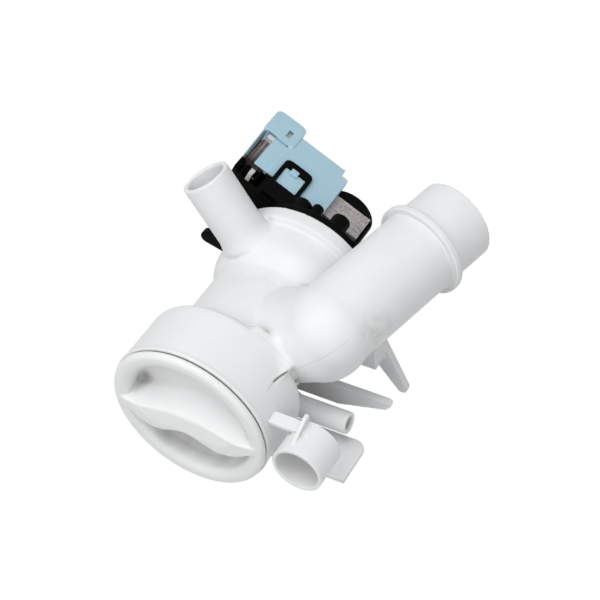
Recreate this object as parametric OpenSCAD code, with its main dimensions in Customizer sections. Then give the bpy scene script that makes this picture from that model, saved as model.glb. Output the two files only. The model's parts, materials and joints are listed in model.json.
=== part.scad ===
// Drain pump of a washing machine: a filter chamber with a hand-turned cap, a bent inlet pipe,
// a pump chamber with a radial outlet, and a two-coil synchronous motor behind it.
// Millimetres. The pump axis is Y: y = 0 is the filter chamber's front rim, the cap faces -Y,
// +X is right seen from the cap, +Z is up. A clock angle is counted from +X towards +Z.

/* [Filter chamber] */
// Outer radius of the filter chamber
housing_r = 42; // [40:0.5:46]
// Length of the filter chamber
housing_len = 34.5; // [32:0.5:40]
// Rounding of the chamber's rear edge
rear_round = 5; // [3:0.5:7]
// Wall of the white mouldings
wall = 2.4; // [2:0.1:3]
// Outer radius of the neck between the two chambers
neck_r = 32.4; // [31:0.1:34]
// Length of the neck
neck_len = 38.5; // [38:0.5:44]
// How far the front lip stands out
lip_out = 0.4; // [0.3:0.1:1]
// Width of the front lip
lip_len = 1.8; // [1:0.1:4]

/* [Inlet pipe] */
// Outer radius of the inlet pipe
inlet_r = 21.7; // [20:0.1:22.5]
// Outer radius of the spigot that takes the tub hose
spigot_r = 21.5; // [19:0.1:21.7]
// Outer radius of the short leg between the neck and the bend
leg_r = 23; // [22:0.1:23.2]
// Clock angle at which the short leg leaves the neck
leg_clock = 27; // [22:1:32]
// Distance from the pump axis to the end of the short leg
leg_reach = 48; // [46:0.5:52]
// Clock angle of the long pipe's start
pipe_clock = 30; // [26:1:34]
// Distance from the pump axis to the long pipe's start
pipe_reach = 54; // [53:0.5:56]
// Turn of the long pipe away from the pump axis, to the right
pipe_yaw = 15.6; // [12:0.2:22]
// Rise of the long pipe towards its mouth
pipe_rise = 3.4; // [0:0.2:6]
// Length of the long pipe
pipe_len = 91.4; // [85:0.2:110]
// Outer radius of the hose stop collar
collar_r = 25.2; // [24:0.1:26]
// Width of the hose stop collar
collar_w = 3.6; // [3:0.1:6]
// Length of the spigot in front of the collar
spigot_len = 24.6; // [20:0.2:30]

/* [Pump chamber] */
// Outer radius of the pump chamber
volute_r = 38.6; // [38:0.1:40]
// Radius of the rounded front shoulder of the pump chamber
shoulder_r = 18; // [16:0.5:20]
// Length of the pump chamber behind the neck, rear flange included
volute_len = 35.6; // [34:0.2:40]
// Outer radius of the rear flange
flange_r = 42; // [41:0.5:45]
// Width of the rear flange
flange_w = 8.6; // [6:0.2:10]
// Radius of the suction eye
eye_r = 15; // [12:0.5:18]

/* [Outlet] */
// Outer radius of the outlet spigot
outlet_r = 12.5; // [11.5:0.1:13]
// Wall of the outlet spigot
outlet_wall = 2.4; // [2:0.1:3]
// Clock angle of the outlet
outlet_clock = 120; // [110:1:130]
// Distance from the pump axis to the outlet's mouth
outlet_reach = 75.5; // [70:0.5:85]

/* [Drain nipple and hose clip] */
// Outer radius of the drain nipple
nipple_r = 5.7; // [5:0.1:5.9]
// Bore radius of the drain nipple
nipple_bore = 3.5; // [3:0.1:4]
// Height of the nipple's axis
nipple_z = -26.5; // [-28:0.5:-24]
// Where the nipple ends to the right
nipple_end = 58.3; // [52:0.1:62]
// Outer radius of the ring that holds the plugged drain hose
ring_r = 12.9; // [11:0.1:14]
// Wall of the ring
ring_wall = 1.8; // [1.4:0.1:2.4]
// Length of the ring
ring_len = 19; // [16:0.5:22]
// Free gap between the ring and the filter chamber
ring_gap = 5.8; // [4:0.1:8]
// Height of the ring's axis
ring_z = -2.3; // [-4:0.1:0]

/* [Feet] */
// Height of the plane that the feet stand on
foot_z = -43.4; // [-45:0.1:-43.2]
// Where the foot plate ends to the right
plate_end = 66; // [60:0.5:70]
// Length of the foot plate along the pump axis
plate_len = 26; // [22:0.5:28]
// Thickness of the foot plate
plate_t = 2.8; // [2.2:0.1:3.4]
// Where the foot bar ends to the right
bar_end = 69.5; // [62:0.5:74]
// Thickness of the foot bar and of the leg
fin_t = 4; // [3:0.1:5]
// Where the leg's tip stands to the right
leg_end = 68; // [62:0.5:72]

/* [Filter cap] */
// Thickness of the cap's flange
cap_flange_t = 3.5; // [2.6:0.1:4.2]
// Thickness of the cap's flat seal
cap_seal_t = 0.6; // [0.4:0.1:1]
// Depth of the finger recess behind the seam
recess_depth = 8; // [7:0.5:10]
// Thickness of the recess floor
floor_t = 2.4; // [2:0.1:3]
// How far the handle stands in front of the flange
handle_proud = 2.8; // [1:0.1:5]
// Width across the handle at its middle
handle_w = 9.8; // [8:0.1:12]
// How far the handle's middle bends up past its ends
handle_bend = 5; // [3:0.1:6]
// Angle at which the handle stands
handle_turn = -2; // [-20:1:20]
// Length of the filter insert behind the recess floor
insert_len = 61; // [58:0.5:63]

/* [Motor] */
// Clock of the motor about the pump axis
motor_clock = 30; // [20:1:40]
// Thickness of the black motor flange
motor_flange_t = 4.4; // [3.6:0.1:5.4]
// Outer radius of the rotor can
can_r = 15; // [14:0.1:16]
// Wall of the rotor can
can_wall = 1.2; // [1:0.1:1.5]
// Distance from the motor flange's front to the end of the rotor can
can_len = 50; // [49:0.2:54]
// Distance from the motor flange's front to the laminated core
core_y = 22.4; // [20:0.2:26]
// Thickness of the laminated core
core_t = 16; // [14:0.5:18]
// Width of one leg of the core
core_leg = 10; // [9:0.5:11]
// Half of the core's overall width
core_half = 20; // [19.5:0.5:21]
// Distance from the pump axis to the outside of the core's yoke
core_reach = 58; // [56:0.5:62]
// How far the poles reach past the pump axis
pole_reach = 12; // [10:0.5:14]
// Thickness of a winding
winding_t = 2.1; // [1.6:0.1:2.3]
// Wall of the blue coil cover
cover_wall = 1.5; // [1.2:0.1:2]
// Length of the coil cover along the pump axis
cover_len = 32.5; // [30:0.5:36]

/* [Rotor and impeller] */
// Radius of the rotor shaft
shaft_r = 2.5; // [2:0.1:3]
// Radius of the rotor magnet
magnet_r = 12.6; // [11.5:0.1:12.9]
// Length of the rotor magnet
magnet_len = 22; // [18:0.5:22]
// Radius of the impeller
impeller_r = 26; // [22:0.5:30]
// Width of the impeller's vanes
vane_w = 14; // [10:0.5:16]
// Number of vanes
vanes = 6; // [4:1:8]
// Angle of the drive dog and of the impeller's stop
dog_angle = 60; // [45:1:70]

/* [Clearances] */
// Radial clearance of a shaft in its bearing
run_gap = 0.05; // [0.02:0.01:0.09]
// Gap between pieces that move past each other
move_gap = 0.4; // [0.3:0.05:0.6]
// Gap between pieces that are put together and stay
fit_gap = 0.1; // [0.05:0.05:0.2]

/* [Hidden] */
$fn = 72;

// Overlap that keeps a cut from ending flush with a face
cut = 1;
// How far a form that is added to a wall reaches into it
bite = 0.5;
// Stations along the pump axis
chamber_end = housing_len;
neck_end = chamber_end + neck_len;
eye_y = neck_end + 4;
flange_y = neck_end + volute_len;
motor_y = flange_y + motor_flange_t;
chamber_y = eye_y + wall;
bore_r = housing_r - wall;
// Rear shoulder of the pump chamber: an arc from the neck to the straight wall
shoulder_y = neck_end + 16;
shoulder_c = volute_r - shoulder_r;
// Inlet and outlet
inlet_y = chamber_end + leg_r - 1.5;
inlet_wall = 2.8;
// How much wider the bend's balls are than the tubes that run into them
ball_over = 0.4;
outlet_y = shoulder_y + 1;
outlet_bore = outlet_r - outlet_wall;
// Cap and bayonet
cap_r = housing_r - 0.3;
ramp_r = bore_r - 1.7;
skirt_r = ramp_r - move_gap;
recess_r = skirt_r - 4.4;
lug_r = bore_r - move_gap;
flange_back = -fit_gap - cap_seal_t;
cap_front = flange_back - cap_flange_t;
recess_y = recess_depth;
lug_angle = 26;
lug_w = 3;
lug_y = recess_y - 1;
// Clock angle of the first lug when the cap is free to come out, and the turn that locks it
bayonet_clock = 90;
bayonet_turn = 46;
skirt_end = recess_y + floor_t + 2;
// Section radius and mean radius of the flange seal
seal_r = 0.8;
seal_c = (flange_r + volute_r - wall) / 2;
pivot_r = 6;
insert_disc_t = 2.4;
// How far the cap's pivot stands behind the skirt, and the snap head at its end
pivot_len = insert_disc_t + 2 * move_gap + 2;
pivot_head = 1.5;

function arc(cx, cy, r, a0, a1, n = 10) =
  [for (i = [0 : n]) [cx + r * cos(a0 + (a1 - a0) * i / n), cy + r * sin(a0 + (a1 - a0) * i / n)]];

// Turns children whose Z is the pump axis so that Z runs along +Y, from station y
module along_y(y = 0) translate([0, y, 0]) rotate([-90, 0, 0]) children();
// Turns a profile of [radius, station] points about the pump axis
module turned(profile) rotate([-90, 0, 0]) rotate_extrude() polygon(profile);
// Points local X along a clock angle
module clocked(angle) rotate([0, -angle, 0]) children();
// A bar of round section that starts on the pump axis and runs out along local X
module spoke(r, reach, y) translate([0, y, 0]) rotate([0, 90, 0]) cylinder(r = r, h = reach);
// A ring about the pump axis
module ring_y(r_out, r_in, y, h)
  along_y(y) difference() {
    cylinder(r = r_out, h = h);
    translate([0, 0, -cut]) cylinder(r = r_in, h = h + 2 * cut);
  }
// A sector of a ring about the pump axis, centred on a clock angle
module sector_y(r_out, r_in, y, h, angle, clock)
  clocked(clock) along_y(y) rotate([0, 0, -angle / 2]) rotate_extrude(angle = angle)
    translate([r_in, 0]) square([r_out - r_in, h]);
// A plate with its outline in X and Z and its thickness along Y
module fin(outline, y, t) translate([0, y + t, 0]) rotate([90, 0, 0]) linear_extrude(t) polygon(outline);

// The filter chamber's form, drawn in by inset, from station y0 on
module chamber_form(inset, y0)
  turned(concat(
    [[0, y0], [housing_r - inset, y0]],
    arc(housing_r - rear_round, chamber_end - rear_round, rear_round - inset, 0, 90, 6),
    [[0, chamber_end - inset]]));

// The pump chamber's outer form with the neck, from station y0 on
module volute_form(y0) {
  first = -acos((neck_r - shoulder_c) / shoulder_r);
  turned(concat(
    [[0, y0], [neck_r, y0]],
    arc(shoulder_c, shoulder_y, shoulder_r, first, 0),
    [[volute_r, flange_y - flange_w], [flange_r, flange_y - flange_w + 1],
     [flange_r, flange_y], [0, flange_y]]));
}

// The pump chamber's inside behind the suction eye
module volute_hollow() {
  inner_r = shoulder_r - wall;
  first = -asin((shoulder_y - chamber_y) / inner_r);
  turned(concat(
    [[0, chamber_y]],
    arc(shoulder_c, shoulder_y, inner_r, first, 0),
    [[volute_r - wall, flange_y + cut], [0, flange_y + cut]]));
}

// The inlet's run: short leg, two balls at the bend and the long pipe, drawn in by inset
module inlet_run(inset, length) {
  translate([0, inlet_y, 0]) clocked(leg_clock) {
    rotate([0, 90, 0]) cylinder(r = leg_r - inset, h = leg_reach);
    translate([leg_reach, 0, 0]) sphere(r = leg_r + ball_over - inset);
  }
  on_pipe() {
    sphere(r = inlet_r + ball_over - inset);
    cylinder(r = inlet_r - inset, h = length);
  }
}
// Points local Z down the long pipe, from its start
module on_pipe()
  translate([pipe_reach * cos(pipe_clock), inlet_y, pipe_reach * sin(pipe_clock)])
    rotate([0, 0, -pipe_yaw]) rotate([pipe_rise - 90, 0, 0]) children();

// The drain nipple's round at a given radius, between two stations to the right
module nipple_bar(r, x0, x1) translate([x0, chamber_end + 12.5, nipple_z])
  rotate([0, 90, 0]) cylinder(r = r, h = x1 - x0);
nipple_start = 8;

module filter_housing() color("whitesmoke") {
  plate_y = housing_len - 10.5;
  corner = 6;
  rib_t = 2.6;
  rib_y = chamber_end - 8;
  rib_end = plate_end - 14;
  ramp_w = 2.6;
  ramp_angle = 52;
  ramp_y = lug_y - move_gap - ramp_w;
  // Gusset in the corner between the chamber and the inlet: its clock, its height and how fast it sinks in
  gusset_clock = 25.4;
  gusset_h = 4.3;
  gusset_y = 21;
  gusset_sink = 26;
  difference() {
    union() {
      chamber_form(0, 0);
      difference() {
        clocked(gusset_clock) translate([housing_r, 0, 0]) rotate([0, -gusset_sink, 0])
          linear_extrude(gusset_sink) polygon([[-2, gusset_y - 6], [0, gusset_y],
            [gusset_h, chamber_end - 0.8], [gusset_h, chamber_end + 3], [-2, chamber_end + 3]]);
        clocked(leg_clock) spoke(leg_r + ball_over, leg_reach + leg_r, inlet_y);
        along_y(chamber_end) cylinder(r = neck_r, h = neck_len);
      }
      ring_y(housing_r + lip_out, housing_r - bite, 0, lip_len);
      // Foot plate with a rounded rear corner
      translate([0, plate_y, foot_z]) difference() {
        cube([plate_end, plate_len, plate_t]);
        translate([plate_end - corner, plate_len - corner, -cut]) difference() {
          cube([corner + cut, corner + cut, plate_t + 2 * cut]);
          cylinder(r = corner, h = plate_t + 2 * cut);
        }
      }
      // Rib that carries the foot plate
      fin([[0, foot_z + bite], [rib_end, foot_z + bite], [rib_end, foot_z + plate_t],
           [housing_r - 8, nipple_z + 4], [0, nipple_z]], rib_y, rib_t);
    }
    chamber_form(wall, -cut);
    along_y(chamber_end - wall - cut) cylinder(r = neck_r - wall, h = wall + 2 * cut);
  }
  // Bayonet ramps, each with an entry gap beside it
  for (i = [0 : 2])
    sector_y(bore_r + bite, ramp_r, ramp_y, ramp_w, ramp_angle, 120 * i + bayonet_clock - bayonet_turn);
}

module inlet_elbow() color("whitesmoke") {
  collar_at = pipe_len - spigot_len - collar_w;
  difference() {
    union() {
      inlet_run(0, collar_at + cut);
      on_pipe() {
        translate([0, 0, collar_at]) cylinder(r = collar_r, h = collar_w);
        translate([0, 0, collar_at + cut]) cylinder(r = spigot_r, h = pipe_len - collar_at - cut);
      }
    }
    inlet_run(inlet_wall, pipe_len + cut);
    chamber_form(0, 0);
    volute_form(chamber_end);
  }
}

// Waterway from the neck into the inlet's short leg
module leg_bore() clocked(leg_clock) spoke(leg_r - inlet_wall, leg_reach, inlet_y);

module pump_neck() color("whitesmoke") {
  bar_h = 14;
  bar_top = foot_z + bar_h;
  bar_round = 2.4;
  difference() {
    union() {
      along_y(chamber_end) cylinder(r = neck_r, h = neck_len);
      // Foot bar, deep at its root, with a rounded tip
      fin(concat([[0, foot_z], [neck_r + 6, foot_z], [bar_end - 3, bar_top - 5.6]],
                 arc(bar_end - bar_round, bar_top - bar_round, bar_round, 0, 90, 4),
                 [[0, bar_top]]), neck_end - fin_t - bite, fin_t);
    }
    along_y(chamber_end - cut) cylinder(r = neck_r - wall, h = neck_len + 2 * cut);
    nipple_bar(nipple_bore, nipple_start, nipple_end);
    leg_bore();
  }
}

module volute_housing() color("whitesmoke") {
  leg_y = outlet_y - 1;
  leg_round = 3;
  // The leg leaves the chamber between these radii, and its lower edge falls between these heights
  leg_in = volute_r - 8;
  leg_out = volute_r + 8;
  leg_low = -26;
  leg_bend = -20;
  leg_knee = [leg_end - 12, -10];
  gusset_len = 9;
  gusset_w = 9.5;
  gusset_h = 13;
  gusset_z = -21.5;
  difference() {
    union() {
      volute_form(neck_end);
      // Leg, and the gusset that runs forward from its root
      fin(concat([[leg_in, leg_low], [leg_out, leg_bend]],
                 arc(leg_end - leg_round, foot_z + leg_round, leg_round, 200, 375, 8),
                 [leg_knee, [volute_r - 4, 0]]), leg_y, fin_t);
      translate([leg_out, leg_y - gusset_len, gusset_z]) cube([gusset_w, gusset_len + cut, gusset_h]);
    }
    // Neck bore, suction eye and pump chamber
    along_y(neck_end - cut) cylinder(r = neck_r - wall, h = eye_y - neck_end + cut);
    along_y(eye_y - cut) cylinder(r = eye_r, h = wall + 2 * cut);
    volute_hollow();
    clocked(outlet_clock) spoke(outlet_bore, outlet_reach + cut, outlet_y);
    leg_bore();
    // Seat of the flange seal
    ring_y(seal_c + seal_r + fit_gap, seal_c - seal_r - fit_gap, flange_y - 2 * seal_r - fit_gap,
           2 * seal_r + fit_gap + cut);
  }
}

module outlet_pipe() color("whitesmoke") {
  // Flared root
  root_r = outlet_r + 1.6;
  root_h = 7;
  root_sink = 3;
  root_taper = 0.2;
  difference() {
    clocked(outlet_clock) {
      spoke(outlet_r, outlet_reach, outlet_y);
      translate([volute_r - root_sink, outlet_y, 0]) rotate([0, 90, 0])
        cylinder(r1 = root_r, r2 = outlet_r - root_taper, h = root_h);
    }
    volute_form(chamber_end);
    clocked(outlet_clock) spoke(outlet_bore, outlet_reach + cut, outlet_y);
  }
}

module drain_nipple() color("whitesmoke") {
  // Thicker root, where the hose stops
  root_out = 0.8;
  root_end = 28;
  difference() {
    union() {
      nipple_bar(nipple_r, nipple_start, nipple_end);
      nipple_bar(nipple_r + root_out, nipple_start, root_end);
    }
    along_y(chamber_end) cylinder(r = neck_r, h = neck_len);
    nipple_bar(nipple_bore, nipple_start - cut, nipple_end + cut);
  }
}

module hose_clip() color("whitesmoke") {
  ring_x = housing_r + ring_gap + ring_r;
  ring_y0 = -6;
  arm_y = ring_y0 + 11;
  arm_w = 7;
  arm_t = 2.2;
  arm_z = ring_z + ring_r - 0.8;
  rib_t = 2;
  rib_h = 5;
  difference() {
    union() {
      translate([ring_x, ring_y0, ring_z]) rotate([-90, 0, 0]) cylinder(r = ring_r, h = ring_len);
      translate([0, arm_y, arm_z - arm_t / 2]) cube([ring_x, arm_w, arm_t]);
      // Gusset rib on top, tall at the rear
      translate([ring_x - 2 - rib_t, 0, 0]) rotate([90, 0, 90]) linear_extrude(rib_t) polygon([
        [ring_y0 + 4, ring_z], [ring_y0 + ring_len, ring_z], [ring_y0 + ring_len, ring_z + ring_r + rib_h],
        [ring_y0 + ring_len - 3, ring_z + ring_r + rib_h], [ring_y0 + 4, ring_z + ring_r - 0.2]]);
    }
    translate([ring_x, ring_y0 - cut, ring_z]) rotate([-90, 0, 0])
      cylinder(r = ring_r - ring_wall, h = ring_len + 2 * cut);
    chamber_form(0, -cut);
    ring_y(housing_r + lip_out, housing_r - bite, -cut, lip_len + cut);
  }
}

module filter_cap() color("white") {
  rim_round = 2.6;
  recess_round = 4;
  skirt_t = 1.6;
  handle_front = cap_front - handle_proud;
  handle_back = recess_y + floor_t / 2;
  // The handle is drawn tilted, and its front face leans back towards its rounded crest
  handle_tilt = 15;
  handle_lean = 1.2;
  crest_r = 3;
  handle_top = handle_high(0) * cos(handle_tilt) + handle_front * sin(handle_tilt);
  // How far the handle's ends run out onto the rim, where they start to fall back to it, and their foot
  end_r = recess_r + 4.7;
  fall_r = recess_r - 12;
  foot_r = skirt_r - skirt_t / 2;
  reach = end_r + 4;
  difference() {
    union() {
      turned(concat(
        [[0, skirt_end], [skirt_r, skirt_end], [skirt_r, flange_back], [cap_r, flange_back]],
        arc(cap_r - rim_round, cap_front + rim_round, rim_round, 0, -90, 5),
        [[0, cap_front]]));
      along_y(skirt_end - cut) cylinder(r = pivot_r, h = pivot_len + cut);
      along_y(skirt_end + insert_disc_t + 2 * move_gap)
        cylinder(r = pivot_r + pivot_head, h = pivot_len - insert_disc_t - 2 * move_gap);
      for (i = [0 : 2])
        sector_y(lug_r, skirt_r - bite, lug_y, lug_w, lug_angle, 120 * i + bayonet_clock);
    }
    // Finger recess
    turned(concat(
      [[0, cap_front - cut], [recess_r + recess_round, cap_front - cut]],
      arc(recess_r + recess_round, cap_front + recess_round, recess_round, -90, -180, 6),
      [[recess_r, recess_y - 2], [recess_r - 2, recess_y], [0, recess_y]]));
    // Hollow behind the floor
    ring_y(skirt_r - skirt_t, 2 * pivot_r, recess_y + floor_t, skirt_end);
  }
  // Handle: a bar across the recess whose middle bends up
  clocked(handle_turn) intersection() {
    turned([[0, handle_front], [fall_r, handle_front], [end_r, cap_front - bite], [end_r, flange_back - bite],
            [foot_r, flange_back - bite], [foot_r, handle_back], [0, handle_back]]);
    rotate([handle_tilt, 0, 0])
      fin(concat([for (i = [-10 : 10]) [i * reach / 10, handle_low(i * reach / 10)]],
                 [for (i = [10 : -1 : -10]) [i * reach / 10, handle_high(i * reach / 10)]]),
          2 * handle_front, 2 * (handle_back - handle_front));
    translate([-reach, 0, 0]) rotate([90, 0, 90])
      linear_extrude(2 * reach) polygon(concat(
        [[handle_back, 2 * handle_w], [handle_front + handle_lean + crest_r, 2 * handle_w]],
        arc(handle_front + handle_lean + crest_r, handle_top - crest_r + 1, crest_r, 90, 180, 6),
        [[handle_front, -handle_w / 2], [handle_front, -2 * handle_w], [handle_back, -2 * handle_w]]));
  }
}
// Swells from 0 at the middle to 1 at a reach on either side
function swell(x, reach) = (1 - cos(180 * min(abs(x) / reach, 1))) / 2;
// The handle's lower and upper edge at a distance x from its middle
handle_lift = 1.6;
function handle_low(x) =
  handle_lift - handle_w / 2 - handle_bend * (swell(x, 17) - swell(max(abs(x) - 24, 0), 14));
function handle_high(x) = handle_lift + handle_w / 2 - handle_bend * swell(x, 36);

module cap_seal() color("black") ring_y(cap_r - bite, skirt_r + fit_gap, -fit_gap - cap_seal_t, cap_seal_t);

module filter_insert() color("gainsboro") {
  disc_y = skirt_end + move_gap;
  disc_t = insert_disc_t;
  tube_r = neck_r - wall - move_gap;
  tube_t = 2;
  insert_end = disc_y + insert_len;
  slot_w = 4.5;
  finger_w = 2.5;
  finger_t = 4;
  finger_step = 9;
  open_y = disc_y + 14;
  difference() {
    union() {
      along_y(disc_y) cylinder(r = ramp_r - 1.5, h = disc_t);
      ring_y(tube_r, tube_r - tube_t, disc_y + cut, insert_len - cut);
      // Fingers across the rear end
      intersection() {
        along_y(insert_end - finger_t) cylinder(r = tube_r - bite, h = finger_t);
        for (i = [-2 : 2])
          translate([-tube_r, insert_end - finger_t, i * finger_step - finger_w / 2])
            cube([2 * tube_r, finger_t, finger_w]);
      }
    }
    along_y(disc_y - cut) cylinder(r = pivot_r + run_gap, h = disc_t + 2 * cut);
    // Window that faces the inlet
    sector_y(tube_r + cut, tube_r - tube_t - cut, open_y, insert_len - 20, 120, leg_clock);
    // Slots round the rest of the tube
    for (i = [1 : 8])
      clocked(leg_clock + 62 + i * 26)
        translate([tube_r - tube_t - cut, open_y, -slot_w / 2])
          cube([tube_t + 2 * cut, insert_len - 24, slot_w]);
  }
}

// Stations of the rotor
shaft_front = chamber_y + 6;
bush_len = 5;
bush_r = 5.5;
holder_y = flange_y - 3;
holder_len = 15;
shaft_seal_r = 4.6;
shaft_seal_t = 4;
front_bush_y = holder_y + 5;
can_end_t = 1.5;
rear_bush_y = flange_y + can_len - can_end_t - bush_len;
magnet_y = flange_y + core_y + core_t / 2 - magnet_len / 2;
hub_y = shaft_front + 1;
hub_len = holder_y - move_gap - 2 - hub_y;
hub_r = 11;
hub_wall = 2;
cup_floor = 6;
cup_y = hub_y + cup_floor;
// Wall of the drive dog's sleeve on the shaft
sleeve_t = 1.5;
dog_r = hub_r - hub_wall - move_gap;
dog_y = cup_y + move_gap;
dog_len = hub_len - cup_floor - 2 * move_gap - 1.5;

module impeller() color("dimgray") {
  vane_t = 2.4;
  difference() {
    union() {
      along_y(hub_y) cylinder(r = hub_r, h = hub_len);
      for (i = [0 : vanes - 1])
        clocked(360 / vanes * i) translate([hub_r - hub_wall + bite, hub_y, -vane_t / 2])
          cube([impeller_r - hub_r + hub_wall - bite, vane_w, vane_t]);
    }
    along_y(hub_y - cut) cylinder(r = shaft_r + run_gap, h = hub_len + 2 * cut);
    along_y(cup_y) cylinder(r = hub_r - hub_wall, h = hub_len);
  }
  // Stop that the drive dog pushes round
  sector_y(hub_r - hub_wall + bite, shaft_r + sleeve_t + move_gap, cup_y - bite, dog_len + bite,
           dog_angle, 180);
}

module rotor_shaft() color("silver")
  along_y(shaft_front) cylinder(r = shaft_r, h = rear_bush_y + bush_len - 0.5 - shaft_front);

// The dog stands 2.5 degrees from the impeller's stop at rest
module drive_dog() color("ivory") {
  lead = 2.5;
  ring_y(shaft_r + sleeve_t, shaft_r, dog_y, dog_len);
  sector_y(dog_r, shaft_r + sleeve_t - bite, dog_y, dog_len, dog_angle, 180 - dog_angle - lead);
}

module rotor_magnet() color("darkslategray") ring_y(magnet_r, shaft_r, magnet_y, magnet_len);

module magnet_washers() color("silver") {
  washer_t = 1.5;
  washer_r = magnet_r - 3;
  ring_y(washer_r, shaft_r, magnet_y - washer_t, washer_t);
  ring_y(washer_r, shaft_r, magnet_y + magnet_len, washer_t);
}

module bush(y) ring_y(bush_r, shaft_r + run_gap, y, bush_len);
module front_bearing() color("sandybrown") bush(front_bush_y);
module rear_bearing() color("sandybrown") bush(rear_bush_y);

module bearing_holder() color("dimgray") {
  rim = can_r - can_wall - fit_gap;
  difference() {
    turned([[shaft_r + 2, holder_y], [rim - 3, holder_y], [rim, holder_y + 3],
            [rim, holder_y + holder_len - 3], [rim - 1.5, holder_y + holder_len],
            [shaft_r + 2, holder_y + holder_len]]);
    along_y(front_bush_y) cylinder(r = bush_r, h = bush_len);
    along_y(holder_y - cut) cylinder(r = shaft_seal_r, h = shaft_seal_t + bite + cut);
  }
}

module shaft_seal() color("black") ring_y(shaft_seal_r, shaft_r + run_gap, holder_y + bite, shaft_seal_t);

module flange_seal() color("black")
  rotate([-90, 0, 0]) rotate_extrude() translate([seal_c, flange_y - seal_r]) circle(r = seal_r - 0.05);

// Everything below is drawn in the motor's own clock: its coils lie towards local -X
module motor_turn() rotate([0, motor_clock, 0]) children();

// Stations of the motor
core_y0 = flange_y + core_y;
core_y1 = core_y0 + core_t;
cover_y0 = core_y0 - 4.5;
cover_y1 = cover_y0 + cover_len;
cover_x0 = -core_reach + 5;
cover_x1 = -9.4;
coil_x0 = -core_reach + core_leg + 1.5;
// Wall of a bobbin's tube, and how far a coil stands off its core leg
bobbin_t = 1;
end_t = 1.2;
coil_grow = fit_gap + bobbin_t + winding_t;
// Air between a coil and the cover, and half of the cover's outer height
cover_air = 0.7;
cover_half = core_half + coil_grow + cover_air + cover_wall;
coil_x1 = -sqrt(pow(can_r, 2) - pow(core_half - core_leg - coil_grow, 2)) - move_gap;
// Terminal block in the hood: its left face carries the blades
block_x = coil_x0 - 3.5;
block_z = core_half - 17;
block_h = 20;
block_len = 13;
latch_x0 = -41;
latch_w = 17;
latch_y1 = core_y0 + 9.4;

spigot_t = 4;

// The motor flange with everything that stands on it, before it is hollowed
module motor_base() {
  boss_h = motor_flange_t + 8;
  clamp_t = 2;
  ear_clock = 208;
  ear_root = 9;
  ear_tip = 3.6;
  ear_reach = flange_r + 16.5;
  along_y(flange_y) cylinder(r = flange_r - 0.8, h = motor_flange_t);
  along_y(flange_y - spigot_t) cylinder(r = volute_r - wall - fit_gap, h = spigot_t + cut);
  along_y(flange_y) cylinder(r = can_r, h = can_len);
  // Bosses on the flange
  for (b = [[124, 35, 5], [89, 36.5, 5], [110, 36, 3], [-89, 36.5, 5], [-124, 35, 5]])
    clocked(b[0]) translate([b[1], 0, 0]) along_y(flange_y) cylinder(r = b[2], h = boss_h);
  // Clamp wall at the ends of the poles
  translate([pole_reach + fit_gap, flange_y, -core_half])
    cube([clamp_t, core_y1 - flange_y - 1, 2 * core_half]);
  // Fixing ear at the left
  clocked(ear_clock) fin(concat([[flange_r - 10, -ear_root], [flange_r - 2, -ear_root]],
                                arc(ear_reach, 0, ear_tip, -75, 75, 8),
                                [[flange_r - 2, ear_root], [flange_r - 10, ear_root]]),
                         flange_y, motor_flange_t);
}

module motor_housing() color([0.06, 0.06, 0.06]) motor_turn() {
  difference() {
    motor_base();
    // Rotor can and the hollow that takes the bearing holder
    along_y(flange_y - spigot_t - cut)
      cylinder(r = can_r - can_wall, h = spigot_t + cut + can_len - can_end_t);
  }
  // Seat of the rear bearing
  ring_y(can_r - can_wall + 0.2, bush_r, rear_bush_y, bush_len + 0.2);
}

module coil_support() color([0.06, 0.06, 0.06]) motor_turn() {
  support_half = cover_half - 1;
  slant = 16;
  rim_t = 2.5;
  pocket_z = 2;
  difference() {
    union() {
      fin([[-core_reach, support_half], [-core_reach, slant - support_half],
           [slant - core_reach, -support_half], [2 - can_r, -support_half],
           [2 - can_r, support_half]], flange_y, cover_y0 - flange_y);
      latch_loop();
      mirror([0, 0, 1]) latch_loop();
    }
    motor_base();
    // Weight-saving hollow, open to the coils, and a pocket that opens it to the top and to the left
    translate([-core_reach + rim_t, motor_y + 2, slant + 3 - support_half])
      cube([core_reach - flange_r * 0.55, cover_y0 - motor_y, 2 * support_half - slant - 3 - rim_t]);
    translate([-core_reach - cut, motor_y + 2, pocket_z])
      cube([latch_x0 - rim_t + core_reach + cut, cover_y0 - motor_y, support_half]);
  }
}

// Snap loop that holds the coil cover, and the window in it
latch_len = latch_y1 - motor_y;
latch_bar = 2.2;
// Bar at the loop's far end, and length of the window
latch_far = 5;
latch_window = 12.2;
module latch_loop() {
  loop_t = 2.4;
  loop_round = 3;
  // How far the loop's root reaches down into the support
  root = 1.5 + fit_gap;
  translate([latch_x0, motor_y, cover_half + fit_gap]) difference() {
    translate([0, 0, -root]) linear_extrude(loop_t + root) polygon(concat(
      [[0, 0], [latch_w, 0]],
      arc(latch_w - loop_round, latch_len - loop_round, loop_round, 0, 90, 5),
      arc(loop_round, latch_len - loop_round, loop_round, 90, 180, 5)));
    translate([latch_bar, latch_len - latch_far - latch_window, -3])
      cube([latch_w - 2 * latch_bar, latch_window, loop_t + 5]);
    // Room for the cover's top wall
    translate([-cut, cover_y0 - motor_y - fit_gap, -3]) cube([latch_w + 2 * cut, latch_len, 3]);
  }
}

module stator_core() color("rosybrown") motor_turn()
  fin_core() difference() {
    polygon([[-core_reach, core_half], [-core_reach, -core_half], [pole_reach, -core_half],
             [pole_reach, core_leg - core_half], [core_leg - core_reach, core_leg - core_half],
             [core_leg - core_reach, core_half - core_leg], [pole_reach, core_half - core_leg],
             [pole_reach, core_half]]);
    circle(r = can_r + fit_gap);
  }
// Stands a flat outline in X and Z up as thick as the core
module fin_core() translate([0, core_y1, 0]) rotate([90, 0, 0]) linear_extrude(core_t) children();

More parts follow.
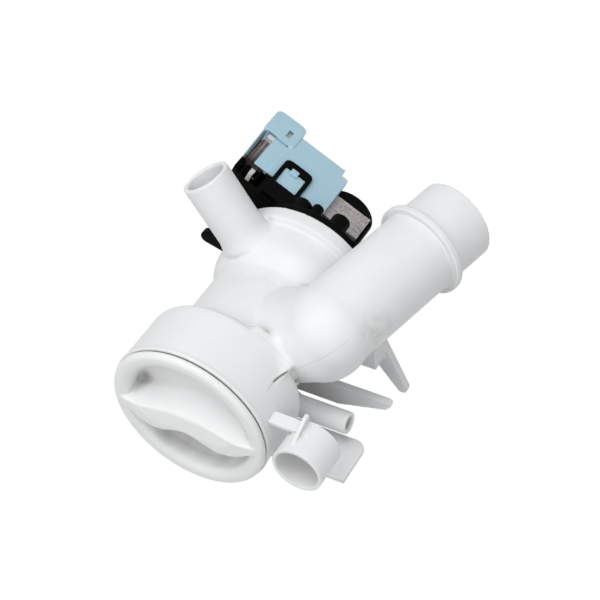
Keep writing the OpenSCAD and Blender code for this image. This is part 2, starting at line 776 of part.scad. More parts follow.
// A box round one core leg, grown by g all round, from x0 to x1
module leg_box(g, x0, x1)
  translate([x0, core_y0 - g, core_half - core_leg - g]) cube([x1 - x0, core_t + 2 * g, core_leg + 2 * g]);

module coil_bobbins() color("white") motor_turn() {
  arm_t = coil_grow - 2 * fit_gap;
  ledge_x = 1 - core_reach;
  prong_x = 3 - core_reach;
  prong_h = 5;
  for (side = [0, 1]) mirror([0, 0, side]) difference() {
    union() {
      leg_box(fit_gap + bobbin_t, coil_x0, coil_x1);
      leg_box(coil_grow, coil_x0, coil_x0 + end_t);
      leg_box(coil_grow, coil_x1 - end_t, coil_x1);
      // Terminal block behind the yoke, and the arm that carries it
      if (side == 0) {
        translate([block_x, core_y1 + fit_gap, block_z]) {
          cube([coil_x0 - block_x + cut, arm_t, block_h]);
          cube([coil_x0 - block_x, block_len, block_h]);
        }
        // Ledge behind the yoke and prong in front of it
        translate([ledge_x, core_y1 + fit_gap, core_half - core_leg])
          cube([block_x - ledge_x + cut, arm_t, block_z + block_h - core_half + core_leg]);
        translate([prong_x, core_y0 - coil_grow + fit_gap, core_half - core_leg])
          cube([coil_x0 - prong_x + cut, arm_t, prong_h]);
      }
    }
    leg_box(fit_gap, coil_x0 - cut, coil_x1 + cut);
  }
}

module coil_windings() color("chocolate") motor_turn()
  for (side = [0, 1]) mirror([0, 0, side]) difference() {
    leg_box(coil_grow - 3 * fit_gap, coil_x0 + end_t, coil_x1 - end_t);
    leg_box(fit_gap + bobbin_t, coil_x0, coil_x1);
  }

module coil_cover() color("lightblue") motor_turn() {
  hood_x = -core_reach - 3;
  hood_w = 18.8;
  hood_y0 = core_y1 + 2;
  hood_y1 = cover_y1 + 6;
  hood_top = cover_half + 0.8;
  hood_round = 3.2;
  step_w = 8;
  step_t = 0.6;
  // Cheek that runs forward from the hood along the yoke
  cheek_x = hood_x + 0.4;
  cheek_t = 2.2;
  cheek_low = 4;
  difference() {
    union() {
      translate([cover_x0, cover_y0, -cover_half]) cube([cover_x1 - cover_x0, cover_len, 2 * cover_half]);
      translate([cheek_x, 0, 0]) rotate([90, 0, 90]) linear_extrude(cheek_t) polygon([
        [hood_y0 + bite, hood_top], [core_y0 + 1, core_half], [core_y0 + 1, cheek_low], [hood_y0 + bite, 0]]);
      // Terminal hood with rounded rear corners
      linear_extrude(hood_top) polygon(concat(
        [[hood_x, hood_y0], [hood_x + hood_w, hood_y0]],
        arc(hood_x + hood_w - hood_round, hood_y1 - hood_round, hood_round, 0, 90, 5),
        arc(hood_x + hood_round, hood_y1 - hood_round, hood_round, 90, 180, 5)));
    }
    // Inside, open to the front and to the yoke
    translate([cover_x0 - cut, cover_y0 - cut, -cover_half + cover_wall])
      cube([cover_x1 - cover_x0 - cover_wall + cut, cover_len - cover_wall + cut,
            2 * (cover_half - cover_wall)]);
    // Room for the rotor can and a way out for the core's legs
    along_y(cover_y0 - cut) cylinder(r = can_r + fit_gap, h = cover_len + 2 * cut);
    translate([cover_x1 - 4, cover_y0 - cut, -core_half - fit_gap])
      cube([6, core_y1 - cover_y0 + fit_gap + cut, 2 * (core_half + fit_gap)]);
    // Inside of the terminal hood, open to the front and to the left, where the plug goes in
    translate([hood_x - cut, hood_y0 - cut, cover_wall])
      cube([hood_w - cover_wall + cut, hood_y1 - hood_y0 - cover_wall - 1 + cut, hood_top - 2 * cover_wall]);
    // Low step along the left edge of the top face
    translate([cover_x0 - cut, cover_y0 - cut, cover_half - step_t])
      cube([step_w + cut, hood_y0 - cover_y0 + cut, cut]);
  }
  // Wedge-shaped catch in the window of each latch loop
  catch_len = latch_window - bite - fit_gap;
  catch_h = 2;
  for (side = [0, 1]) mirror([0, 0, side])
    translate([latch_x0 + latch_bar + fit_gap, latch_y1 - latch_far - latch_window + bite, cover_half - bite])
      rotate([90, 0, 90]) linear_extrude(latch_w - 2 * latch_bar - 2 * fit_gap)
        polygon([[0, 0], [catch_len, 0], [catch_len, catch_h], [catch_len - 3, catch_h], [0, 0.8]]);
}

module terminal_blades() color("silver") motor_turn() {
  blade_w = 6.3;
  blade_len = 8;
  blade_t = 0.8;
  blade_y = core_y1 + block_len / 2 - 1.5;
  // Heights of the two blades above the block's lower end
  blade_low = 3;
  blade_high = 15;
  for (z = [blade_low, blade_high])
    translate([block_x - blade_len, blade_y, block_z + z]) cube([blade_len, blade_w, blade_t]);
}

filter_housing();
inlet_elbow();
pump_neck();
volute_housing();
outlet_pipe();
drain_nipple();
hose_clip();
filter_cap();
cap_seal();
filter_insert();
impeller();
rotor_shaft();
drive_dog();
rotor_magnet();
magnet_washers();
front_bearing();
rear_bearing();
bearing_holder();
shaft_seal();
flange_seal();
motor_housing();
coil_support();
stator_core();
coil_bobbins();
coil_windings();
coil_cover();
terminal_blades();
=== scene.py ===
"""Looks of the washer drain pump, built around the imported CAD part.

The frame, the stage and the finishes are in metres. Points and sizes of forms are in millimetres.
"""

import json
import math

import bmesh
import bpy
import numpy as np
from mathutils import Matrix, Vector


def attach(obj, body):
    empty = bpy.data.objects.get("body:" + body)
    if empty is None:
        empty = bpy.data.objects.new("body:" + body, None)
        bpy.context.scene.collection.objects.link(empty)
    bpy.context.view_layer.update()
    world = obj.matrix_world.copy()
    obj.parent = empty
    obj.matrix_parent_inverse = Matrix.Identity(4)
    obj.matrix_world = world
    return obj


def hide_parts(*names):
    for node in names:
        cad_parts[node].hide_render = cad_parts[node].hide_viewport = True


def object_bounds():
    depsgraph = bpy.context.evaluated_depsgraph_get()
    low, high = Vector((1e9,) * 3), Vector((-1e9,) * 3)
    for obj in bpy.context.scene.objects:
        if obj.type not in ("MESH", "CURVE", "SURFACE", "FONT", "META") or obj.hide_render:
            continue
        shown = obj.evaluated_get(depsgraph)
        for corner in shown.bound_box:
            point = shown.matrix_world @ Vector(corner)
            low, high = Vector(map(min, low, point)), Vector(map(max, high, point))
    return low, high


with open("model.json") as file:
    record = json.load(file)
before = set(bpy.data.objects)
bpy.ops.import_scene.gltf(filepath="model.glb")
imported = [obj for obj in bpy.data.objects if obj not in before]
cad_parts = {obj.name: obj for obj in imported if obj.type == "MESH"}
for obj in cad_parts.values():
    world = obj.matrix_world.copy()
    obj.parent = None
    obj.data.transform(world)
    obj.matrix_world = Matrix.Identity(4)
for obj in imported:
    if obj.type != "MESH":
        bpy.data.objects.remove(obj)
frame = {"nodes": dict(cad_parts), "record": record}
cad_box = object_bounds()
nodes = frame["nodes"]
scene = bpy.context.scene

MM = 0.001
PUMP_AXIS = (0, 1, 0)
# The motor's own clock: core, coils and cover stand turned about the pump's axis
MOTOR_TURN = Matrix.Rotation(math.radians(30), 4, "Y")
MOTOR_ACROSS = MOTOR_TURN.to_3x3() @ Vector((1, 0, 0))

# The photo's camera: its place, its axes in the frame, and lens and sensor in millimetres
CAMERA_AT = (0.3146, -0.3607, 0.5288)
CAMERA_RIGHT = (0.8688, 0.4870, -0.0871)
CAMERA_UP = (-0.2876, 0.6405, 0.7117)
CAMERA_BACK = (0.4025, -0.5937, 0.6971)
CAMERA_LENS = 90
CAMERA_SENSOR = 36
CAMERA_CLIP = (0.01, 20)

# The studio's light from all round, the floor that throws some of it back, and the lamps' places and watts
SKY_LEVEL = 0.42
SEEN_LEVEL = 1.0
FLOOR_GREY = 0.65
FLOOR_RADIUS = 3
FLOOR_SIDES = 96
FLOOR_DROP = 0.0002
LAMP_SIZE = 0.6
LAMP_TARGET = (0.02, 0.07, 0)
LAMPS = {
    "left": ((-0.35, -0.65, 0.8), 2.6),
    "right": ((0.55, -0.55, 0.65), 1.7),
    "top": ((0.1, -0.2, 1.0), 4.1),
}


def add_camera():
    data = bpy.data.cameras.new("camera")
    data.lens, data.sensor_width = CAMERA_LENS, CAMERA_SENSOR
    data.clip_start, data.clip_end = CAMERA_CLIP
    camera = bpy.data.objects.new("camera", data)
    turn = Matrix((CAMERA_RIGHT, CAMERA_UP, CAMERA_BACK)).transposed().to_4x4()
    camera.matrix_world = Matrix.Translation(CAMERA_AT) @ turn
    scene.collection.objects.link(camera)
    scene.camera = camera


def seen_share(tree):
    """1 for rays that show the background itself: from the camera, off gloss or through clear material."""
    path = tree.nodes.new("ShaderNodeLightPath")
    total = path.outputs["Is Camera Ray"]
    for ray in ("Is Glossy Ray", "Is Transmission Ray"):
        node = tree.nodes.new("ShaderNodeMath")
        node.operation = "MAXIMUM"
        tree.links.new(total, node.inputs[0])
        tree.links.new(path.outputs[ray], node.inputs[1])
        total = node.outputs[0]
    return total


def split_rays(tree, lighting, seen, output):
    """Lets one shader light the part and another one show as the background."""
    mix = tree.nodes.new("ShaderNodeMixShader")
    tree.links.new(seen_share(tree), mix.inputs[0])
    tree.links.new(lighting.outputs[0], mix.inputs[1])
    tree.links.new(seen.outputs[0], mix.inputs[2])
    tree.links.new(mix.outputs[0], tree.nodes.new(output).inputs[0])


def add_sky():
    scene.world = bpy.data.worlds.new("studio")
    scene.world.use_nodes = True
    tree = scene.world.node_tree
    tree.nodes.clear()
    shades = []
    for level in (SKY_LEVEL, SEEN_LEVEL):
        shade = tree.nodes.new("ShaderNodeBackground")
        shade.inputs["Color"].default_value = (1, 1, 1, 1)
        shade.inputs["Strength"].default_value = level
        shades.append(shade)
    split_rays(tree, *shades, "ShaderNodeOutputWorld")


def add_floor():
    """A floor just under the part: it throws light back and catches no shadow that the camera sees."""
    bm = bmesh.new()
    bmesh.ops.create_circle(bm, cap_ends=True, segments=FLOOR_SIDES, radius=FLOOR_RADIUS)
    data = bpy.data.meshes.new("floor")
    bm.to_mesh(data)
    bm.free()
    floor = bpy.data.objects.new("floor", data)
    floor.location = (0, 0, cad_box[0].z - FLOOR_DROP)
    scene.collection.objects.link(floor)
    paint = bpy.data.materials.new("floor_paint")
    paint.use_nodes = True
    tree = paint.node_tree
    tree.nodes.clear()
    matte = tree.nodes.new("ShaderNodeBsdfDiffuse")
    matte.inputs["Color"].default_value = (FLOOR_GREY, FLOOR_GREY, FLOOR_GREY, 1)
    split_rays(tree, matte, tree.nodes.new("ShaderNodeEmission"), "ShaderNodeOutputMaterial")
    data.materials.append(paint)


def add_lamps():
    for name, (at, watts) in LAMPS.items():
        data = bpy.data.lights.new(name, "AREA")
        data.shape, data.size, data.energy = "DISK", LAMP_SIZE, watts
        lamp = bpy.data.objects.new(name, data)
        lamp.location = at
        lamp.rotation_mode = "QUATERNION"
        lamp.rotation_quaternion = (Vector(LAMP_TARGET) - Vector(at)).to_track_quat("-Z", "Y")
        scene.collection.objects.link(lamp)


# Where the Mix node has the sockets of its colours
MIX_A, MIX_B, MIX_RESULT = 6, 7, 2
# The share of a mark's reach that has its full strength
MARK_CORE = 0.2


class Nodes:
    """A material's node tree, with short calls for the nodes that the finishes share."""

    def __init__(self, name):
        self.mat = bpy.data.materials.new(name)
        self.mat.use_nodes = True
        self.tree = self.mat.node_tree
        self.shader = self.tree.nodes["Principled BSDF"]
        self.coords = self.tree.nodes.new("ShaderNodeTexCoord").outputs["Object"]

    def add(self, kind, **values):
        node = self.tree.nodes.new("ShaderNode" + kind)
        for key, value in values.items():
            setattr(node, key, value)
        return node

    def put(self, socket, value):
        if isinstance(value, bpy.types.NodeSocket):
            self.tree.links.new(value, socket)
        else:
            socket.default_value = value

    def noise(self, scale, detail, stretch=(1, 1, 1), rough=0.5):
        mapping = self.add("Mapping")
        mapping.inputs["Scale"].default_value = stretch
        self.put(mapping.inputs["Vector"], self.coords)
        node = self.add("TexNoise")
        node.inputs["Scale"].default_value = scale
        node.inputs["Detail"].default_value = detail
        node.inputs["Roughness"].default_value = rough
        self.put(node.inputs["Vector"], mapping.outputs[0])
        return node.outputs[0]

    def cells(self, scale):
        """Distance to the nearest of many scattered points."""
        node = self.add("TexVoronoi")
        node.inputs["Scale"].default_value = scale
        self.put(node.inputs["Vector"], self.coords)
        return node.outputs["Distance"]

    def hollow(self, reach):
        """1 in the open, and less where the piece's own walls stand within a reach."""
        node = self.add("AmbientOcclusion", samples=8, only_local=True)
        node.inputs["Distance"].default_value = reach
        return node.outputs["AO"]

    def ramp(self, value, low, high, a=0.0, b=1.0):
        node = self.add("MapRange", clamp=True)
        self.put(node.inputs["Value"], value)
        for socket, number in zip(("From Min", "From Max", "To Min", "To Max"), (low, high, a, b)):
            node.inputs[socket].default_value = number
        return node.outputs[0]

    def math(self, how, a, b=0.0):
        node = self.add("Math", operation=how)
        self.put(node.inputs[0], a)
        self.put(node.inputs[1], b)
        return node.outputs[0]

    def times(self, a, b):
        return self.math("MULTIPLY", a, b)

    def mix(self, share, a, b):
        node = self.add("Mix", data_type="RGBA")
        self.put(node.inputs["Factor"], share)
        for socket, value in ((node.inputs[MIX_A], a), (node.inputs[MIX_B], b)):
            self.put(socket, value if isinstance(value, bpy.types.NodeSocket) else (*value, 1))
        return node.outputs[MIX_RESULT]

    def measure(self, how, vector):
        """A number from the place on the piece and a vector: their product or their distance."""
        node = self.add("VectorMath", operation=how)
        self.put(node.inputs[0], self.coords)
        node.inputs[1].default_value = vector
        return node.outputs["Value"]

    def along(self, direction):
        return self.measure("DOT_PRODUCT", direction)

    def mark(self, away, reach):
        """1 close by, and 0 from a reach on."""
        return self.ramp(away, MARK_CORE * reach, reach, 1, 0)

    def bump(self, height, distance, strength):
        node = self.add("Bump")
        node.inputs["Strength"].default_value = strength
        node.inputs["Distance"].default_value = distance
        self.put(node.inputs["Height"], height)
        self.put(self.shader.inputs["Normal"], node.outputs[0])

    def finish(self, colour, roughness, **sockets):
        self.put(self.shader.inputs["Base Color"], colour)
        self.put(self.shader.inputs["Roughness"], roughness)
        for key, value in sockets.items():
            self.put(self.shader.inputs[key.replace("_", " ")], value)
        return self.mat


def times_colour(colour, share):
    return tuple(c * share for c in colour)


# Colours on the white plastic: scuffs and specks that it has picked up, painted shade for its hollows, and
# grime that also serves as painted shadow and shade
SCUFF = (0.48, 0.48, 0.49)
SPECK = (0.22, 0.17, 0.12)
HOLLOW_SHADE = (0.27, 0.245, 0.19)
GRIME_AND_SHADE = (0.30, 0.29, 0.275)

# Mould lines on the white plastic: plane direction, its distance, the sides that show it and where, strength
MOULD_LINE = (0.35, 0.35, 0.36)
SEAM_WIDTH = 0.0003
SEAM_FADE = 0.002
SEAMS = (
    ((-0.62, 0.02, 0.784), -0.00977, (((0, -1, 0), -0.046), ((1, 0, 0), 0.040)), 0.3),
    (PUMP_AXIS, 0.0318, (((0, 0, 1), -0.01),), 0.18),
)

# Spots on the white plastic: centre, reach, strength, and how even it is. The first three are grime, and the
# last is painted shadow on the foot bar's root under the elbow.
GRIME_AND_SHADOW_SPOTS = (
    ((0.0700, 0.0590, 0.0310), 0.014, 0.40, 0),
    ((0.0080, 0.0690, 0.0320), 0.012, 0.15, 0),
    ((-0.0060, 0.0640, 0.0320), 0.009, 0.15, 0),
    ((0.0220, 0.0690, -0.0390), 0.024, 0.70, 0.8),
)
# Painted shade in the cap's recess under the handle and at the left end of its upper recess: centre, reach,
# strength, and how even it is
CAP_SHADE_SPOTS = (
    ((-0.0200, 0.0040, -0.0260), 0.008, 0.50, 0.9),
    ((-0.0110, 0.0080, -0.0315), 0.009, 0.50, 0.9),
    ((0.0000, 0.0085, -0.0335), 0.009, 0.50, 0.9),
    ((0.0110, 0.0070, -0.0320), 0.009, 0.45, 0.9),
    ((-0.0300, 0.0085, 0.0075), 0.006, 0.60, 0.9),
)

# Painted shade inside the cover's cheek at the yoke: from and to across the motor, its end along the axis,
# how wide each of these edges fades, its strength, and the share of the cover's colour that is left
CHEEK_LOW, CHEEK_HIGH, CHEEK_BACK = -0.0604, -0.0578, 0.149
CHEEK_LOW_FADE, CHEEK_HIGH_FADE, CHEEK_BACK_FADE = 0.0008, 0.0003, 0.002
CHEEK_SHADE_STRENGTH = 0.9
CHEEK_SHADE_LEFT = 0.06

# Varnish and painted shade on the core: where the yoke ends across the motor, the pitch of its runs, and the
# span along the axis where painted shade darkens the yoke's front
YOKE_EDGE = (-0.0485, -0.0470)
RUN_PITCH = 0.0023
YOKE_FRONT = (0.131, 0.142)


def white_plastic(name, base, speck, rough, hollow_reach, hollow_shade_share, seams=(), grime_and_shade=()):
    """Handled white moulding: faint mottling, grey scuffs, a few brown specks and fine orange-peel bump.

    It has painted shade in its hollows, and has mould lines, grime and painted shadow where they are asked
    for.
    """
    n = Nodes(name)
    colour = n.mix(n.ramp(n.noise(scale=28, detail=4), 0.42, 0.7), base, times_colour(base, 0.95))
    scuff = n.times(n.ramp(n.noise(scale=90, detail=6, stretch=(1, 0.22, 1), rough=0.7), 0.62, 0.74),
                    n.ramp(n.noise(scale=35, detail=2), 0.5, 0.62))
    colour = n.mix(n.times(scuff, 0.25), colour, SCUFF)
    near = n.ramp(n.cells(scale=70), 0.03, 0.06, 1, 0)
    chosen = n.ramp(n.noise(scale=60, detail=1), 0.64, 0.66)
    colour = n.mix(n.times(n.times(near, chosen), speck), colour, SPECK)
    # Painted shade where the piece's own walls stand close
    share = n.times(n.ramp(n.hollow(hollow_reach), 0.15, 0.75, 1, 0), hollow_shade_share)
    colour = n.mix(share, colour, HOLLOW_SHADE)
    # Grime spots, and spots of painted shadow and shade where they are given
    for centre, reach, strength, even in grime_and_shade:
        patch = n.times(n.mark(n.measure("DISTANCE", centre), reach),
                        n.ramp(n.noise(scale=130, detail=6, rough=0.75), 0.42, 0.70, even, 1))
        colour = n.mix(n.times(patch, strength), colour, GRIME_AND_SHADE)
    for direction, at, gates, strength in seams:
        line = n.mark(n.math("ABSOLUTE", n.math("SUBTRACT", n.along(direction), at)), SEAM_WIDTH)
        for side, limit in gates:
            line = n.times(line, n.ramp(n.along(side), limit, limit + SEAM_FADE))
        colour = n.mix(n.times(line, strength), colour, MOULD_LINE)
    n.bump(n.noise(scale=650, detail=2), distance=0.00004, strength=0.4)
    return n.finish(colour, n.ramp(n.noise(scale=45, detail=4), 0.3, 0.7, rough - 0.05, rough + 0.08),
                    IOR=1.45, Subsurface_Weight=0.2, Subsurface_Radius=(1, 0.97, 0.94),
                    Subsurface_Scale=0.002)


def plain_plastic(name, base, spread, rough, grain=900, depth=0.00005, gloss=0.5, cheek=False):
    """Plain material with faint mottling and a fine grain, and with painted shade inside the cover's cheek
    if asked for.
    """
    n = Nodes(name)
    colour = n.mix(n.ramp(n.noise(scale=70, detail=5), 0.35, 0.7), base, times_colour(base, 1 - spread))
    # Painted shade inside the cover's cheek
    if cheek:
        across = n.along(MOTOR_ACROSS)
        inside = n.times(n.ramp(across, CHEEK_LOW, CHEEK_LOW + CHEEK_LOW_FADE),
                         n.ramp(across, CHEEK_HIGH - CHEEK_HIGH_FADE, CHEEK_HIGH, 1, 0))
        inside = n.times(inside, n.ramp(n.along(PUMP_AXIS), CHEEK_BACK - CHEEK_BACK_FADE, CHEEK_BACK,
                                        CHEEK_SHADE_STRENGTH, 0))
        colour = n.mix(inside, colour, times_colour(base, CHEEK_SHADE_LEFT))
    n.bump(n.noise(scale=grain, detail=2), distance=depth, strength=0.6)
    return n.finish(colour, n.ramp(n.noise(scale=120, detail=3), 0.3, 0.7, rough - 0.06, rough + 0.08),
                    IOR=1.5, Specular_IOR_Level=gloss)


def metal(name, base, rough, lines=(1, 1, 1), scale=400, depth=0.00003):
    """Bare metal with a fine grain, drawn out along the axes where lines is small."""
    n = Nodes(name)
    streak = n.noise(scale=scale, detail=4, stretch=lines)
    colour = n.mix(n.ramp(streak, 0.35, 0.7), base, times_colour(base, 0.7))
    n.bump(streak, distance=depth, strength=0.6)
    return n.finish(colour, n.ramp(streak, 0.3, 0.7, rough, rough + 0.15), Metallic=1.0)


def sheet_edges(name, base, varnish_and_shade):
    """Punched edges of stacked sheets: bright grains in faint rows, browner where the varnish is thick, and
    painted shade on the yoke.
    """
    n = Nodes(name)
    grain = n.noise(scale=2000, detail=2)
    colour = n.mix(n.ramp(grain, 0.40, 0.60), times_colour(base, 0.4), base)
    rows = n.noise(scale=500, detail=3, stretch=(0.08, 2.2, 0.5))
    colour = n.mix(n.times(n.ramp(rows, 0.45, 0.65), 0.35), colour, varnish_and_shade)
    # Runs along the yoke, partly the stripes of the stack and partly painted shade, with painted shade
    # darkest towards the front
    across = n.along(MOTOR_ACROSS)
    yoke = n.ramp(across, *YOKE_EDGE, 1, 0)
    runs = n.ramp(n.math("SINE", n.times(across, math.tau / RUN_PITCH)), -0.4, 0.6, 0.35, 0.9)
    colour = n.mix(n.times(yoke, runs), colour, varnish_and_shade)
    front = n.ramp(n.along(PUMP_AXIS), *YOKE_FRONT, 0.85, 0)
    colour = n.mix(n.times(yoke, front), colour, times_colour(varnish_and_shade, 0.15))
    n.bump(grain, distance=0.00006, strength=0.6)
    return n.finish(colour, n.ramp(grain, 0.3, 0.7, 0.45, 0.6), Metallic=0.3)


# The maker, the colour and the other values of every slot's finish, and of ring_white, the hose ring's own
# white, whose painted shade in its hollow reaches further than that of its slot
FINISHES = {
    "white_pp": (white_plastic, (0.81, 0.82, 0.83), dict(
        speck=0.7, rough=0.5, hollow_reach=0.007, hollow_shade_share=0.7, seams=SEAMS, grime_and_shade=GRIME_AND_SHADOW_SPOTS)),
    "ring_white": (white_plastic, (0.81, 0.82, 0.83), dict(
        speck=0.7, rough=0.5, hollow_reach=0.022, hollow_shade_share=0.7)),
    "white_cap": (white_plastic, (0.83, 0.84, 0.845), dict(
        speck=0.45, rough=0.48, hollow_reach=0.008, hollow_shade_share=0.8, grime_and_shade=CAP_SHADE_SPOTS)),
    "grey_pp": (plain_plastic, (0.60, 0.61, 0.62), dict(spread=0.08, rough=0.45)),
    "impeller_plastic": (plain_plastic, (0.05, 0.05, 0.055), dict(spread=0.2, rough=0.5)),
    "dog_plastic": (plain_plastic, (0.66, 0.62, 0.50), dict(spread=0.08, rough=0.4)),
    "black_pbt": (plain_plastic, (0.0018, 0.0018, 0.0022), dict(spread=0.3, rough=0.5, gloss=0.035)),
    "blue_pp": (plain_plastic, (0.39, 0.585, 0.69), dict(spread=0.06, rough=0.42, cheek=True)),
    "bobbin_white": (plain_plastic, (0.80, 0.80, 0.78), dict(spread=0.06, rough=0.4)),
    "rubber": (plain_plastic, (0.13, 0.117, 0.095), dict(spread=0.3, rough=0.75, grain=500, depth=0.0001)),
    "lamination": (sheet_edges, (0.72, 0.67, 0.675), dict(varnish_and_shade=(0.13, 0.10, 0.085))),
    "steel": (metal, (0.55, 0.55, 0.56), dict(rough=0.25, lines=(4, 0.2, 4))),
    "tin": (metal, (0.62, 0.62, 0.60), dict(rough=0.3)),
    "ferrite": (plain_plastic, (0.03, 0.03, 0.032), dict(spread=0.3, rough=0.6, grain=1500, depth=0.00006)),
    "bronze": (metal, (0.45, 0.27, 0.13), dict(rough=0.45, scale=1500)),
    "copper": (metal, (0.55, 0.20, 0.08), dict(rough=0.3, lines=(12, 1, 1), scale=200, depth=0.0001)),
}


# How much a smoothing pass moves a point, how steeply a blend and a groove gain strength from their edge
# inwards, how far above and below its line a groove works in metres, and the bevel of small blocks
SMOOTH_FACTOR = 0.5
BLEND_RISE = 2
GROOVE_RISE = 1.4
GROOVE_REACH = 0.003
BLOCK_EDGE = 0.2


def from_bmesh(name, bm):
    data = bpy.data.meshes.new(name)
    bmesh.ops.recalc_face_normals(bm, faces=bm.faces)
    bm.to_mesh(data)
    bm.free()
    piece = bpy.data.objects.new(name, data)
    scene.collection.objects.link(piece)
    return piece


def bake(piece):
    """Applies a piece's modifiers to its mesh."""
    graph = bpy.context.evaluated_depsgraph_get()
    data = bpy.data.meshes.new_from_object(piece.evaluated_get(graph))
    piece.modifiers.clear()
    piece.data = data


def dress(piece, body, slot, *members):
    """Gives a piece the finish of its slot and its body, and hides the nodes that it stands for."""
    piece.data.materials.clear()
    piece.data.materials.append(finishes[slot])
    for face in piece.data.polygons:
        face.use_smooth = True
    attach(piece, body)
    if members:
        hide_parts(*members)
    return piece


def points_of(piece):
    points = np.empty(3 * len(piece.data.vertices))
    piece.data.vertices.foreach_get("co", points)
    return points.reshape(-1, 3)


def blend_round(piece, name, centre, radius, passes):
    """Smooths a piece further round a point, so that the forms that meet there run into each other."""
    near = 1 - np.linalg.norm(points_of(piece) - np.array(centre) * MM, axis=1) / (radius * MM)
    group = piece.vertex_groups.new(name=name)
    for index in np.flatnonzero(near > 0):
        group.add([int(index)], min(1, BLEND_RISE * float(near[index])), "REPLACE")
    smooth = piece.modifiers.new(name, "SMOOTH")
    smooth.factor, smooth.iterations, smooth.vertex_group = SMOOTH_FACTOR, passes, name


def groove(piece, start, end, push, width):
    """Presses a thin line into a piece, between two points and along a direction."""
    points = points_of(piece)
    start, push = np.array(start) * MM, np.array(push) * MM
    span = np.array(end) * MM - start
    along = np.clip((points - start) @ span / (span @ span), 0, 1)
    off = points - start - along[:, None] * span
    deep = off @ push / np.linalg.norm(push)
    side = np.linalg.norm(off - np.outer(deep, push) / np.linalg.norm(push), axis=1) / (width * MM)
    points += (np.clip(GROOVE_RISE * (1 - side), 0, 1) * (np.abs(deep) < GROOVE_REACH))[:, None] * push
    piece.data.vertices.foreach_set("co", points.ravel())


def coil_boxes(boxes, bm=None):
    """Boxes given by two corners, in the motor's own clock."""
    bm = bm or bmesh.new()
    for low, high in boxes:
        low, high = Vector(low) * MM, Vector(high) * MM
        made = bmesh.ops.create_cube(bm, size=1)["verts"]
        for vert in made:
            vert.co = MOTOR_TURN @ Vector([a + (c + 0.5) * (b - a) for a, b, c in zip(low, high, vert.co)])
    return bm


def soften(name, members, body, slot, voxel, passes, keep, ribs=(), cuts=(), blends=(), grooves=()):
    """One moulded piece from a body's nodes: their meshes joined, with rounded edges and filleted joins.

    Ribs are added before the meshes are joined, cuts taken out after that, and grooves pressed in last.
    Passes is the number of smoothing passes, and keep the share of the faces that stays.
    """
    bm = bmesh.new()
    for member in members:
        bm.from_mesh(nodes[member].data)
    piece = from_bmesh(name, coil_boxes(ribs, bm))
    remesh = piece.modifiers.new("remesh", "REMESH")
    remesh.mode, remesh.voxel_size = "VOXEL", voxel * MM
    bake(piece)
    for k, box in enumerate(cuts):
        cutter = from_bmesh(f"{name}_cut_{k}", coil_boxes([box]))
        cut = piece.modifiers.new("cut", "BOOLEAN")
        cut.operation, cut.object = "DIFFERENCE", cutter
        bake(piece)
        bpy.data.objects.remove(cutter)
    smooth = piece.modifiers.new("smooth", "SMOOTH")
    smooth.factor, smooth.iterations = SMOOTH_FACTOR, passes
    for k, blend in enumerate(blends):
        blend_round(piece, f"blend_{k}", *blend)
    bake(piece)
    for line in grooves:
        groove(piece, *line)
    piece.modifiers.new("decimate", "DECIMATE").ratio = keep
    bake(piece)
    return dress(piece, body, slot, *members)


def small_block(name, low, high, slot):
    """A small piece of the motor's trim, with rounded edges."""
    bm = coil_boxes([(low, high)])
    bmesh.ops.bevel(bm, geom=bm.edges[:], offset=BLOCK_EDGE * MM, segments=2, profile=0.5, affect="EDGES")
    dress(from_bmesh(name, bm), "pump", slot)


def motor_vert(bm, x, y, z):
    """A vertex at a point in the motor's own clock."""
    return bm.verts.new(MOTOR_TURN @ (Vector((x, y, z)) * MM))


def skin(bm, rings):
    """Faces between each ring of vertices and the next one, and over both ends."""
    count = len(rings[0])
    for a, b in zip(rings, rings[1:]):
        for k in range(count):
            after = (k + 1) % count
            bm.faces.new((a[k], a[after], b[after], b[k]))
    bm.faces.new(rings[0])
    bm.faces.new(rings[-1][::-1])


def add_windings():
    """The two coils as ribbed turns of wire round the core's legs."""
    start, end, turns, steps = -45.2, -15.1, 38, 4
    y_mid, z_mid, y_half, z_half = 139.0, 15.0, 10.7, 7.7
    corner, corner_steps, bulge = 1.6, 4, 0.2
    # Each point of a turn: the centre of its corner, and the direction from there
    loop = []
    for quarter in range(4):
        cy = (y_half - corner) * (1 if quarter in (0, 3) else -1)
        cz = (z_half - corner) * (1 if quarter in (0, 1) else -1)
        for i in range(corner_steps + 1):
            angle = math.radians(90 * (quarter + i / corner_steps))
            loop.append((cy, cz, math.cos(angle), math.sin(angle)))
    bm = bmesh.new()
    for side in (1, -1):
        rings = []
        for i in range(turns * steps + 1):
            x = start + (end - start) * i / (turns * steps)
            r = corner + bulge * abs(math.sin(math.pi * i / steps))
            rings.append([motor_vert(bm, x, y_mid + cy + r * c, side * (z_mid + cz + r * d))
                          for cy, cz, c, d in loop])
        skin(bm, rings)
    dress(from_bmesh("coil_turns", bm), "pump", "copper", "coil_windings")


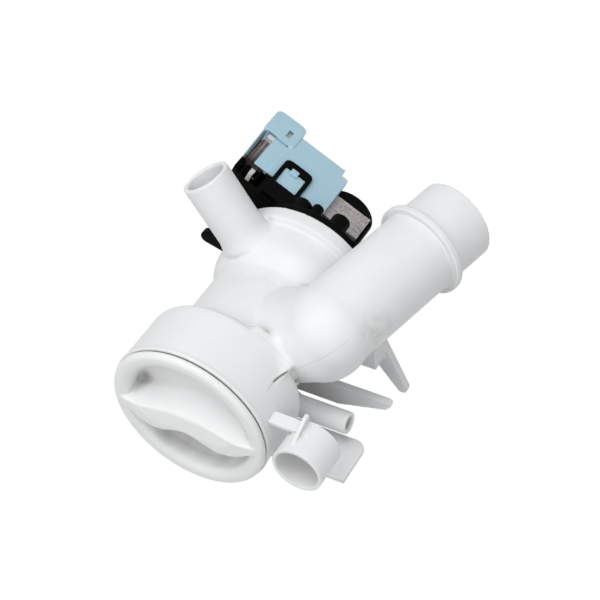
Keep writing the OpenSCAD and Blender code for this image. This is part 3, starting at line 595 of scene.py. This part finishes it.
def add_core():
    """The laminated core as a stack of sheets, each with its own small offset."""
    low, high, count = 131.0, 147.0, 32
    pitch = (high - low) / count
    # Half the gap between sheets, and how far they are off their place
    gap, stray, seed = 0.05, 0.035, 7
    reach, half, leg, pole, bore = 58.0, 20.0, 10.0, 12.0, 15.1
    inner = half - leg
    # The rotor's bore, from the inside of a leg to the end of its pole
    first, last, steps = math.pi - math.asin(inner / bore), math.acos(pole / bore), 14
    arc = [first - (first - last) * i / steps for i in range(steps + 1)]
    upper = [(bore * math.cos(a), bore * math.sin(a)) for a in arc]
    outline = [(-reach, -half), (-reach, half), (pole, half)] + upper[::-1]
    outline += [(leg - reach, inner), (leg - reach, -inner)]
    outline += [(x, -z) for x, z in upper] + [(pole, -half)]
    bm = bmesh.new()
    rng = np.random.default_rng(seed)
    for i in range(count):
        shift = rng.normal(0, stray, 2)
        faces = (low + i * pitch + gap, low + (i + 1) * pitch - gap)
        skin(bm, [[motor_vert(bm, x + shift[0], y, z + shift[1]) for x, z in outline] for y in faces])
    piece = dress(from_bmesh("core_sheets", bm), "pump", "lamination", "stator_core")
    for face in piece.data.polygons:
        face.use_smooth = False


finishes = {name: make(name, base, **values) for name, (make, base, values) in FINISHES.items()}
add_camera()
add_sky()
add_floor()
add_lamps()
scene.view_settings.view_transform = "Standard"

for node in frame["record"]["subparts"]:
    data = nodes[node["node"]].data
    data.materials.clear()
    data.materials.append(finishes[node["material_slot"]])

WHITE = ["filter_housing", "inlet_elbow", "pump_neck", "volute_housing", "outlet_pipe", "drain_nipple"]
# Where the inlet bends, the outlet and the neck meet the chamber and the gusset ends: centre, radius, passes
BLENDS = (
    ((44, 46, 25), 34, 80),
    ((-19, 90, 33), 24, 60),
    ((0, 76, 18), 36, 50),
    ((26, 38, 34), 12, 200),
)
# The crack under the gusset between chamber and inlet: start, end, push, width
GROOVES = (
    ((36.6, 20.5, 20.5), (39.4, 28.7, 20.2), (-2.2, 0, -1.2), 0.7),
)
# Ribs on either side of the bobbin's post, a pad on the second one, and the wall at the yoke's end
FRAME_RIBS = (
    ((-56, 127.4, 1.9), (-53.1, 131, 15.5)),
    ((-50.5, 127.4, 1.9), (-43.4, 131, 15.5)),
    ((-48, 126.6, 12), (-42, 127.75, 21.6)),
    ((-60.8, 124.5, 0.5), (-57.6, 149, 16.4)),
)
# The hood's slot, the notch at the cover's corner, and the inside of the cheek
COVER_CUTS = (
    ((-49.6, 152.4, 23.9), (-47.0, 157.8, 27)),
    ((-13.9, 153.6, 17), (-8, 160, 27)),
    ((-62, 129, -1), (-55.5, 149.2, 16.5)),
)
# The motor's trim: two corners and the slot
TRIM = {
    "bobbin_post": ((-53, 127.3, 2.1), (-50.6, 128.6, 15.1), "bobbin_white"),
    "catch_step": ((-35.6, 132.6, 26.4), (-31.2, 136.6, 28.0), "blue_pp"),
    "cover_tab": ((-13.5, 152.9, 24.2), (-9.7, 155.3, 25.0), "tin"),
    "wire_end": ((-49.8, 126.8, 12.2), (-48.9, 127.6, 13.4), "copper"),
}

soften("white_moulding", WHITE, "pump", "white_pp", voxel=0.5, passes=5, keep=0.4,
       blends=BLENDS, grooves=GROOVES)
ring = soften("hose_ring", ["hose_clip"], "pump", "white_pp", voxel=0.3, passes=3, keep=0.5)
# The hose ring's own white, with painted shade reaching deeper into its bore
ring.data.materials[0] = finishes["ring_white"]
soften("cap", ["filter_cap"], "filter_knob", "white_cap", voxel=0.45, passes=7, keep=0.5)
soften("motor_frame", ["motor_housing", "coil_support"], "pump", "black_pbt", voxel=0.4, passes=4, keep=0.5,
       ribs=FRAME_RIBS)
soften("blue_cover", ["coil_cover"], "pump", "blue_pp", voxel=0.3, passes=4, keep=0.5, cuts=COVER_CUTS)
add_core()
add_windings()
for name, block in TRIM.items():
    small_block(name, *block)
